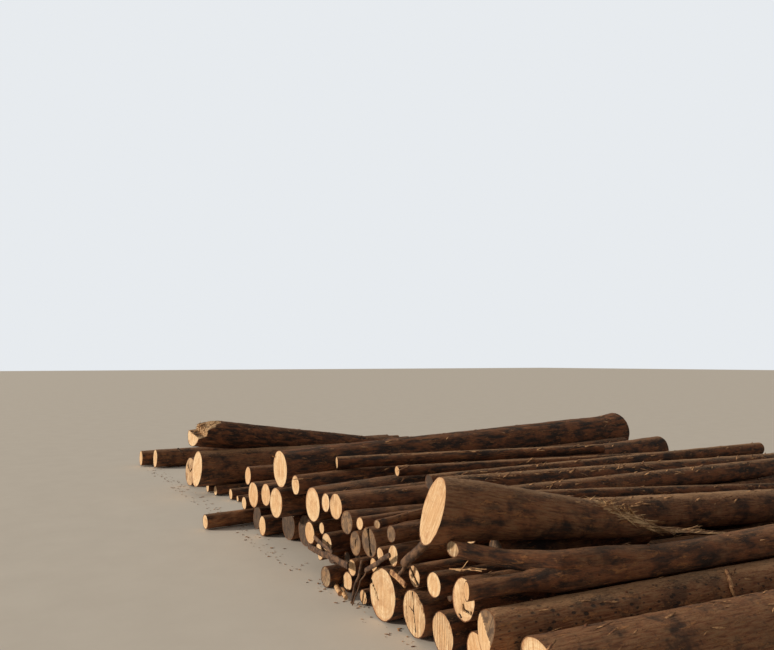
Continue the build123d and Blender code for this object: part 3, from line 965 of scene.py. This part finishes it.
def sawn_finish(colours, ring_spacing):
    """A sawn end with year rings, saw marks, scars and weathering."""
    finish = Finish("Sawn wood")
    ring = finish.attribute("ring")
    grain = finish.attribute("grain")
    _, grey, scar = finish.parts(finish.attribute("look"))
    saw_across, saw_along, _ = finish.parts(finish.attribute("saw"))
    across, height, size = finish.parts(ring)
    away = finish.node("ShaderNodeVectorMath", {"operation": "LENGTH"}, {
        0: finish.vector(across, height, 0.0)}, "Value")
    wobble = finish.noise(grain, 22.0, 3.0, 0.6)
    rings = finish.math("SINE", (away + wobble * 0.012) * (2 * math.pi / ring_spacing))
    seasons = finish.noise(finish.vector((away + wobble * 0.02) * 75.0, size * 90.0, 0.0), 1.0, 3.0, 0.6)
    marks = finish.noise(finish.vector(saw_across * 210.0, saw_along * 7.0, 0.0), 1.0, 4.0, 0.65)
    stains = finish.noise(finish.vector(saw_across * 75.0, saw_along * 6.0, size * 40.0), 1.0, 4.0, 0.6)
    patches = finish.noise(grain, 14.0, 5.0, 0.65)
    rubs = finish.noise(grain, 95.0, 3.0, 0.6)

    share = away / size
    heart = finish.step(share + (wobble - 0.5) * 0.6, 0.72, 0.3)
    hue = finish.noise(finish.vector(size * 431.0, 7.3, 0.0), 1.0, 0.0)
    rim = finish.step(share + (patches - 0.5) * 0.35, 0.82, 1.0)
    fresh = finish.coated(colours.sapwood, (
        (heart * 0.5, colours.heartwood),
        (finish.step(hue, 0.4, 0.75) * 0.6, colours.heartwood),
        (finish.step(seasons, 0.40, 0.62) * 0.45, colours.heartwood),
        ((rings * 0.5 + 0.5) * 0.12, colours.heartwood),
        (finish.step(stains, 0.47, 0.62) * 0.5, STAIN),
        (finish.step(stains, 0.44, 0.32) * 0.5, PALE_STREAK),
        (finish.step(marks, 0.50, 0.66) * 0.55, SAW_MARK),
        (finish.step(patches, 0.52, 0.66) * 0.5, DARK_PATCH),
        (finish.step(rubs, 0.54, 0.68) * 0.35, RUB),
        (rim * 0.6, OUTER_RINGS),
    ))
    old = finish.coated(colours.weathered, (
        (finish.step(marks, 0.38, 0.62), OLD_MARK),
        (finish.step(patches, 0.5, 0.62) * 0.7, OLD_PATCH),
        (finish.step(wobble, 0.50, 0.60) * 0.75, OLD_SPOT),
    ))
    aged = finish.step(grey + (patches - 0.5) * 0.6 + (stains - 0.5) * 0.4, 0.28, 0.66)
    # Painted shade: ends set past 1 darken towards the dark bark colour.
    shaded = finish.step(grey + (patches - 0.5) * 1.6 + (stains - 0.5), 1.0, 1.7)
    ridge = finish.math("SINE", (saw_across + wobble * 0.008) * (2 * math.pi / RIDGE_SPACING))
    ridged = finish.step(ridge + (stains - 0.5) * 2.0, 0.1, 0.9) * finish.step(scar, 0.0, -1.0)
    # Painted shade: near black inside the sunk scars.
    crack = finish.step(scar, 0.1, 0.6)
    wood = finish.coated(fresh, (
        (aged, old), (shaded * 0.85, colours.dark_bark), (ridged * 0.65, RIDGE), (crack, SCAR_SHADE),
    ))
    finish.relief(marks * 0.6 + stains * 0.4 + patches * 0.3 + rubs * 0.15 - crack - ridged * 0.4, 0.008, 1.0)
    return finish.finished(wood, 0.62 + patches * 0.2)


def torn_finish():
    """Splintered wood, pale and brown along its fibres."""
    finish = Finish("Torn wood")
    grain = finish.attribute("grain")
    tone, _, gap = finish.parts(finish.attribute("look"))
    fibres = finish.noise(finish.stretched(grain, (8.0, 120.0, 120.0)), 1.0, 4.0, 0.65)
    stains = finish.noise(finish.stretched(grain, (5.0, 26.0, 26.0)), 1.0, 3.0, 0.6)
    wood = finish.coated(TORN_DARK, (
        (finish.step(fibres, 0.36, 0.62), TORN_PALE),
        (finish.step(stains, 0.46, 0.62) * (tone * 1.8), TORN_STAIN),
        # The third look value marks the band above the hinge's break, darkened here as painted shade.
        (finish.step(gap, 0.2, 0.7) * 0.9, TORN_GAP_SHADE),
    ))
    finish.relief(fibres, 0.012)
    return finish.finished(wood, 0.8)


def loose_finish(name, pale, dark):
    """Loose wood that lies on the logs or on the ground."""
    finish = Finish(name)
    place = finish.node("ShaderNodeTexCoord", result="Object")
    spots = finish.noise(place, 26.0, 3.0, 0.6)
    fibres = finish.noise(finish.stretched(place, (60.0, 320.0, 320.0)), 1.0, 2.0)
    wood = finish.coated(dark, (
        (finish.step(spots, 0.4, 0.62), pale),
        (finish.step(fibres, 0.45, 0.7) * 0.5, dark),
    ))
    finish.relief(fibres, 0.002)
    return finish.finished(wood, 0.85)


def floor_finish():
    """A plain pale floor."""
    finish = Finish("Pale floor")
    place = finish.node("ShaderNodeTexCoord", result="Object")
    spots = finish.noise(place, 3.0, 5.0, 0.6)
    return finish.finished(finish.mix(spots, FLOOR_DARK, FLOOR_PALE), 0.9)


FINISHES = {}


def finish_of(name):
    """Each finish, made once from the user's colours."""
    if name not in FINISHES:
        colours = bpy.context.scene.log_colours
        shape = bpy.context.scene.log_shape
        makers = {
            "bark": lambda: bark_finish(colours),
            "sawn": lambda: sawn_finish(colours, shape.ring_spacing),
            "torn": torn_finish,
            "floor": floor_finish,
        }
        FINISHES[name] = loose_finish(*LOOSE[name]) if name in LOOSE else makers[name]()
    return FINISHES[name]


# Shapes that repeat


class Tree(Nodes):
    """A geometry node tree with named inputs."""

    def __init__(self, name, inputs):
        super().__init__(bpy.data.node_groups.new(name, "GeometryNodeTree"))
        self.tree.interface.new_socket("Geometry", in_out="OUTPUT", socket_type="NodeSocketGeometry")
        for label, kind in inputs.items():
            self.tree.interface.new_socket(label, in_out="INPUT", socket_type="NodeSocket" + kind)

    def input(self, label):
        return self.node("NodeGroupInput", result=label)

    def place(self):
        """Where the points lie, as x, y and z."""
        return self.parts(self.node("GeometryNodeInputPosition"))

    def moved(self, geometry, offset):
        return self.node("GeometryNodeSetPosition", None, {"Geometry": geometry, "Offset": offset})

    def line(self, start, end, count):
        """A straight curve with evenly spaced points."""
        line = self.node("GeometryNodeCurvePrimitiveLine", None, {"Start": start, "End": end})
        return self.node("GeometryNodeResampleCurve", None, {"Curve": line, "Count": count})

    def swept(self, line, corners, radius):
        """A closed solid along a curve."""
        profile = self.node("GeometryNodeCurvePrimitiveCircle", None, {
            "Resolution": corners, "Radius": radius})
        return self.node("GeometryNodeCurveToMesh", None, {
            "Curve": line, "Profile Curve": profile, "Fill Caps": True})

    def chance(self, low, high, seed):
        """A random number for each point, or a random vector between two."""
        kind, first, result = ("FLOAT_VECTOR", 0, 0) if isinstance(low, tuple) else ("FLOAT", 2, 1)
        return self.node("FunctionNodeRandomValue", {"data_type": kind}, {
            first: low, first + 1: high, "Seed": seed}, result)

    def scatter(self, surface, seed, chosen=True):
        """Points on the chosen faces of a surface, and the way each face looks."""
        points, normal, _ = self.node("GeometryNodeDistributePointsOnFaces", None, {
            "Mesh": surface, "Selection": chosen, "Density": self.input("Density"), "Seed": seed}, None)
        return points, normal

    def upright(self, normal):
        """A turn that stands a shape up on its face."""
        return self.node("FunctionNodeAlignRotationToVector", {"axis": "Z"}, {"Vector": normal})

    def askew(self, turn, by):
        """A turn that is turned a little further, about its own axes."""
        return self.node("FunctionNodeRotateRotation", {"rotation_space": "LOCAL"}, {
            "Rotation": turn, "Rotate By": by})

    def set_on(self, points, shape, turn, size):
        """A copy of a shape on each point."""
        return self.node("GeometryNodeInstanceOnPoints", None, {
            "Points": points, "Instance": shape, "Rotation": turn, "Scale": size})

    def end(self, geometry):
        """Close the tree, with its pieces made real and their material set."""
        real = self.node("GeometryNodeRealizeInstances", None, {"Geometry": geometry})
        painted = self.node("GeometryNodeSetMaterial", None, {
            "Geometry": real, "Material": self.input("Material")})
        self.node("NodeGroupOutput", None, {0: painted}, None)
        return self.tree


def facing_up(tree, least, finish):
    """Faces that look up and have one of a log's finishes."""
    _, _, height = tree.parts(tree.node("GeometryNodeInputNormal"))
    slot = tree.node("GeometryNodeInputMaterialIndex")
    return tree.math("GREATER_THAN", height, least) * tree.math("COMPARE", slot, finish)


def strip_tree():
    """Short curled strips that lie along the top of a log."""
    tree = Tree("Bark strips", {
        "Log": "Geometry", "Along": "Vector", "Density": "Float", "Length": "Float",
        "Width": "Float", "Least height": "Float", "Limit": "Float", "Finish": "Float", "Stray": "Float",
        "Seed": "Int", "Material": "Material"})
    seed = tree.input("Seed")
    upper = facing_up(tree, tree.input("Least height"), tree.input("Finish"))
    x, _, _ = tree.place()
    points, normal = tree.scatter(
        tree.input("Log"), seed, upper * tree.math("LESS_THAN", x, tree.input("Limit")))
    bent = tree.vector(0.0, tree.math("SINE", x * 4.0) * 1.5, x * x * 0.55)
    strip = tree.swept(tree.moved(tree.line((-0.5, 0, 0), (0.5, 0, 0), 6), bent), 4, 0.5)
    aligned = tree.node("FunctionNodeAlignRotationToVector", {"axis": "X", "pivot_axis": "Z"}, {
        "Rotation": tree.upright(normal), "Vector": tree.input("Along")})
    stray = tree.scaled(tree.chance((-0.2, -0.22, -0.5), (0.2, 0.06, 0.5), seed), tree.input("Stray"))
    longer = tree.chance(0.35, 1.7, seed) * tree.input("Length")
    wider = tree.chance(0.5, 1.6, seed) * tree.input("Width")
    size = tree.vector(longer, wider, wider * 0.8)
    return tree.end(tree.set_on(points, strip, tree.askew(aligned, stray), size))


def stub_tree():
    """Low stubs where branches were cut off."""
    tree = Tree("Branch stubs", {
        "Log": "Geometry", "Density": "Float", "Width": "Float", "Seed": "Int", "Material": "Material"})
    seed = tree.input("Seed")
    points, normal = tree.scatter(tree.input("Log"), seed, facing_up(tree, STUB_FACING, BARK))
    stub = tree.node("GeometryNodeMeshCone", None, {
        "Vertices": 9, "Side Segments": 2, "Radius Top": 0.55, "Radius Bottom": 1.0, "Depth": 1.0})
    turn = tree.askew(tree.upright(normal), tree.chance((-0.3, -0.3, 0.0), (0.3, 0.3, 6.0), seed))
    wider = tree.chance(0.6, 1.4, seed) * tree.input("Width")
    return tree.end(tree.set_on(points, stub, turn, tree.vector(wider, wider * 0.8, wider * 0.9)))


def stick_tree():
    """One crooked stick between two points."""
    tree = Tree("Crooked stick", {
        "Start": "Vector", "End": "Vector", "Thickness": "Float", "Crook": "Float",
        "Flatness": "Float", "Seed": "Int", "Material": "Material"})
    along = tree.node("GeometryNodeSplineParameter")
    arch = tree.math("SINE", along * math.pi)
    wander = tree.node("ShaderNodeTexNoise", {"noise_dimensions": "4D"}, {
        "W": tree.input("Seed"), "Scale": 9.0, "Detail": 2.0}, 1)
    centred = tree.node("ShaderNodeVectorMath", {"operation": "SUBTRACT"}, {0: wander, 1: (0.5, 0.5, 0.5)})
    line = tree.line(tree.input("Start"), tree.input("End"), 16)
    line = tree.moved(line, tree.scaled(centred, arch * tree.input("Crook") * 6.0))
    line = tree.node("GeometryNodeSetCurveRadius", None, {"Curve": line, "Radius": 1.0 - along * 0.35})
    stick = tree.swept(line, 7, tree.input("Thickness"))
    x, _, _ = tree.place()
    plane, _, _ = tree.parts(tree.input("Start"))
    inward = (plane - x) * (1.0 - tree.input("Flatness"))
    return tree.end(tree.moved(stick, tree.vector(inward)))


def crumb_tree():
    """Bark crumbs scattered over a stretch of ground."""
    tree = Tree("Bark crumbs", {
        "Ground": "Geometry", "Density": "Float", "Size": "Float", "Seed": "Int", "Material": "Material"})
    seed = tree.input("Seed")
    points, _ = tree.scatter(tree.input("Ground"), seed)
    crumb = tree.node("GeometryNodeMeshIcoSphere", None, {"Radius": 1.0, "Subdivisions": 1})
    crumb = tree.node("GeometryNodeTransform", None, {"Geometry": crumb, "Translation": (0, 0, 1.0)})
    turned = tree.chance((-0.04, -0.04, 0.0), (0.04, 0.04, 6.2), seed)
    wide = tree.chance(0.3, 1.5, seed) * tree.input("Size")
    return tree.end(tree.set_on(points, crumb, turned, tree.vector(wide * 2.6, wide, wide * 0.35)))


def grown(group, name, base, values):
    """A piece made by a tree from a base mesh, as a plain mesh at the origin."""
    grower = bpy.data.objects.new(name + "_grower", base or bpy.data.meshes.new(name + "_base"))
    bpy.context.scene.collection.objects.link(grower)
    modifier = grower.modifiers.new("Grow", "NODES")
    modifier.node_group = group
    for item in group.interface.items_tree:
        if item.item_type == "SOCKET" and item.in_out == "INPUT" and item.name in values:
            modifier[item.identifier] = values[item.name]
    graph = bpy.context.evaluated_depsgraph_get()
    mesh = bpy.data.meshes.new_from_object(grower.evaluated_get(graph), depsgraph=graph)
    bpy.data.objects.remove(grower)
    for layer in [a.name for a in mesh.attributes if not a.is_required and not a.name.startswith(".")]:
        if layer not in ("material_index", "sharp_edge", "sharp_face"):
            mesh.attributes.remove(mesh.attributes[layer])
    mesh.name = name
    piece = bpy.data.objects.new(name, mesh)
    bpy.context.scene.collection.objects.link(piece)
    return piece


# Operators


WORKED_LOGS = ("big_butt_log", "hinge_butt_log", "forked_log")
FORMS = {}


def dress(node, draft):
    """Put a draft in the place of its CAD node."""
    piece = draft.made("dressed_" + node, [finish_of("bark"), finish_of("sawn"), finish_of("torn")])
    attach(piece, "root")
    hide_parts(node)


def lay_on(node, group, name, values):
    """Grow loose wood on a dressed log and give it the log's slot."""
    log = bpy.data.objects["dressed_" + node]
    piece = grown(group, f"{name}_on_{node}", log.data, values)
    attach(piece, "root")


def detail_of(node):
    """How finely a node's logs are made."""
    if node.startswith(HIDDEN):
        return HIDDEN_DETAIL
    return CLOSE_DETAIL if node in CLOSE_UP else USUAL_DETAIL


def slimmed(form):
    """The butt log's form, slimmer and lower towards its tear."""
    stations = []
    for along, centre, radius in form.stations:
        share = clamped((along - SLIM_START) / (SLIM_END - SLIM_START))
        slim = 1 + (BUTT_SLIM - 1) * share
        sunk = centre - UP * (radius * (1 - slim) + BUTT_SINK * share)
        stations.append((along, sunk, radius * slim))
    form.stations = stations
    return form


class LOGS_OT_round_logs(Operator):
    """Dress every log that is round from end to end"""

    bl_idname = "logs.round_logs"
    bl_label = "Dress the round logs"

    def execute(self, context):
        shape = context.scene.log_shape
        for number, node in enumerate(sorted(frame["nodes"])):
            if node in WORKED_LOGS:
                continue
            look = LOOKS.get(node, HIDDEN_LOOK if node.startswith(HIDDEN) else USUAL_LOOK)
            draft = Draft()
            draw = random.Random(number + ROUND_LOG_SEED)
            FORMS[node] = [read_form(points) for points in loose_parts(node)]
            for form in FORMS[node]:
                Log(draft, shape, draw, form, look, detail_of(node), work_of(node))
            dress(node, draft)
        return {"FINISHED"}


class LOGS_OT_worked_logs(Operator):
    """Dress the torn, the hinged and the forked log"""

    bl_idname = "logs.worked_logs"
    bl_label = "Dress the worked logs"

    def execute(self, context):
        shape = context.scene.log_shape
        torn = slimmed(read_form(loose_parts("big_butt_log")[0], far_cut=TEAR_LENGTH + TEAR_MARGIN))
        hinged = read_form(loose_parts("hinge_butt_log")[0], near_cut=HINGE_DEPTH + HINGE_MARGIN)
        trunk, limb = read_fork(loose_parts("forked_log")[0])
        FORMS.update({"big_butt_log": [torn], "hinge_butt_log": [hinged], "forked_log": [trunk]})
        for number, node in enumerate(WORKED_LOGS):
            draft = Draft()
            draw = random.Random(number + WORKED_LOG_SEED)
            Log(draft, shape, draw, FORMS[node][0], LOOKS[node], CLOSE_DETAIL, work_of(node))
            if node == "forked_log":
                Log(draft, shape, draw, limb, LIMB_LOOK, CLOSE_DETAIL, Work(slant=LIMB_CUT))
            dress(node, draft)
        return {"FINISHED"}


class LOGS_OT_bark_strips(Operator):
    """Lay loose bark strips on the upper logs, and stubs on the knotty ones"""

    bl_idname = "logs.bark_strips"
    bl_label = "Add bark strips and stubs"

    def execute(self, context):
        litter = context.scene.stack_litter
        strips = strip_tree()
        stubs = stub_tree()
        for number, (node, share) in enumerate(STRIPPED.items()):
            form = FORMS[node][0]
            lay_on(node, strips, "bark_strips", {
                "Along": form.forward, "Density": litter.strip_density * share,
                "Length": litter.strip_length, "Width": STRIP_WIDTH, "Least height": STRIP_FACING,
                "Limit": form.end.x - litter.strip_length, "Finish": float(BARK), "Stray": 1.0,
                "Seed": number + STRIP_SEED, "Material": finish_of("strips")})
        for node, (length, way) in SPLINTERED.items():
            lay_on(node, strips, "splinters", {
                "Along": FORMS[node][0].forward * way - UP * SPLINTER_FALL,
                "Density": SPLINTER_DENSITY, "Length": length, "Width": SPLINTER_WIDTH,
                "Least height": SPLINTER_FACING, "Limit": cad_box[1][0], "Finish": float(TORN),
                "Stray": SPLINTER_STRAY, "Seed": SPLINTER_SEED, "Material": finish_of("pale")})
        for number, node in enumerate(STUBBED):
            lay_on(node, stubs, "branch_stubs", {
                "Density": STUB_DENSITY, "Width": STUB_WIDTH, "Seed": number + STUB_SEED,
                "Material": finish_of("bark")})
        return {"FINISHED"}


class LOGS_OT_litter(Operator):
    """Add the loose sticks and the bark crumbs along the foot of the stack"""

    bl_idname = "logs.litter"
    bl_label = "Add loose wood"

    def execute(self, context):
        litter = context.scene.stack_litter
        sticks = stick_tree()
        for number, (name, start, end, thickness, crook, flatness, wood) in enumerate(STICKS):
            piece = grown(sticks, name, None, {
                "Start": start, "End": end, "Thickness": thickness, "Crook": crook, "Flatness": flatness,
                "Seed": number + STICK_SEED, "Material": finish_of(wood)})
            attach(piece, "root")
        low, high = cad_box
        front = low[0] + CRUMBS_FROM
        back = low[0] + CRUMBS_TO
        near = low[1] + CRUMBS_SHORT_NEAR
        far = high[1] - CRUMBS_SHORT_FAR
        corners = [(x, y, CRUMB_LIFT) for x, y in ((front, near), (back, near), (back, far), (front, far))]
        ground = bpy.data.meshes.new("crumb_ground")
        ground.from_pydata(corners, [], [(0, 1, 2, 3)])
        area = (back - front) * (far - near)
        piece = grown(crumb_tree(), "bark_crumbs", ground, {
            "Density": litter.crumb_count / area, "Size": CRUMB_SIZE, "Seed": CRUMB_SEED,
            "Material": finish_of("strips")})
        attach(piece, "root")
        return {"FINISHED"}


def studio_world():
    """Soft light all round, and a plain pale backdrop where the camera looks."""
    world = bpy.data.worlds.new("Studio")
    world.use_nodes = True
    nodes = Nodes(world.node_tree)
    light = nodes.node("ShaderNodeBackground", None, {
        "Color": (*SOFT_LIGHT, 1.0), "Strength": SOFT_STRENGTH})
    seen = nodes.node("ShaderNodeBackground", None, {"Color": (*BACKDROP, 1.0), "Strength": 1.0})
    camera = nodes.node("ShaderNodeLightPath", result="Is Camera Ray")
    chosen = nodes.node("ShaderNodeMixShader", None, {0: camera, 1: light, 2: seen})
    nodes.node("ShaderNodeOutputWorld", None, {"Surface": chosen}, None)
    return world


class LOGS_OT_stage(Operator):
    """Add the floor, the lights and the camera"""

    bl_idname = "logs.stage"
    bl_label = "Set the stage"

    def execute(self, context):
        scene = context.scene
        floor = bpy.data.meshes.new("floor")
        corners = [(x * FLOOR_REACH, y * FLOOR_REACH, 0) for x, y in ((-1, -1), (1, -1), (1, 1), (-1, 1))]
        floor.from_pydata(corners, [], [(0, 1, 2, 3)])
        floor.materials.append(finish_of("floor"))
        floor = bpy.data.objects.new("floor", floor)
        scene.collection.objects.link(floor)

        scene.world = studio_world()

        key = bpy.data.lights.new("Low warm key", "SUN")
        key.energy = KEY_STRENGTH
        key.angle = math.radians(KEY_SOFTNESS)
        key.color = KEY_COLOUR
        key = bpy.data.objects.new("Low warm key", key)
        key.rotation_euler = Vector(KEY_SIDE).to_track_quat("Z", "Y").to_euler()
        scene.collection.objects.link(key)

        lens = bpy.data.cameras.new("Camera")
        lens.sensor_width = SENSOR_WIDTH
        lens.lens = FOCAL_PIXELS / PHOTO_WIDTH * SENSOR_WIDTH
        lens.clip_end = CAMERA_REACH
        camera = bpy.data.objects.new("Camera", lens)
        camera.location = CAMERA_PLACE
        camera.rotation_euler = (math.radians(90 + CAMERA_RISE), 0, -math.radians(CAMERA_HEADING))
        scene.collection.objects.link(camera)
        scene.camera = camera
        scene.view_settings.view_transform = "Standard"
        return {"FINISHED"}


class LOGS_PT_panel(Panel):
    """The sizes, the colours and the steps"""

    bl_label = "Stack of logs"
    bl_idname = "LOGS_PT_panel"
    bl_space_type = "VIEW_3D"
    bl_region_type = "UI"
    bl_category = "Logs"

    def draw(self, context):
        for settings in (context.scene.log_shape, context.scene.log_colours, context.scene.stack_litter):
            box = self.layout.box()
            for key in settings.__annotations__:
                box.prop(settings, key)
        for operator in OPERATORS:
            self.layout.operator(operator.bl_idname)


OPERATORS = (
    LOGS_OT_round_logs, LOGS_OT_worked_logs, LOGS_OT_bark_strips, LOGS_OT_litter, LOGS_OT_stage,
)
CLASSES = (LogShape, LogColours, StackLitter, *OPERATORS, LOGS_PT_panel)


def register():
    for item in CLASSES:
        bpy.utils.register_class(item)
    bpy.types.Scene.log_shape = PointerProperty(type=LogShape)
    bpy.types.Scene.log_colours = PointerProperty(type=LogColours)
    bpy.types.Scene.stack_litter = PointerProperty(type=StackLitter)


def unregister():
    del bpy.types.Scene.stack_litter
    del bpy.types.Scene.log_colours
    del bpy.types.Scene.log_shape
    for item in reversed(CLASSES):
        bpy.utils.unregister_class(item)


def main():
    """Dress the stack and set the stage."""
    register()
    bpy.ops.logs.round_logs()
    bpy.ops.logs.worked_logs()
    bpy.ops.logs.bark_strips()
    bpy.ops.logs.litter()
    bpy.ops.logs.stage()


if __name__ == "__main__":
    main()
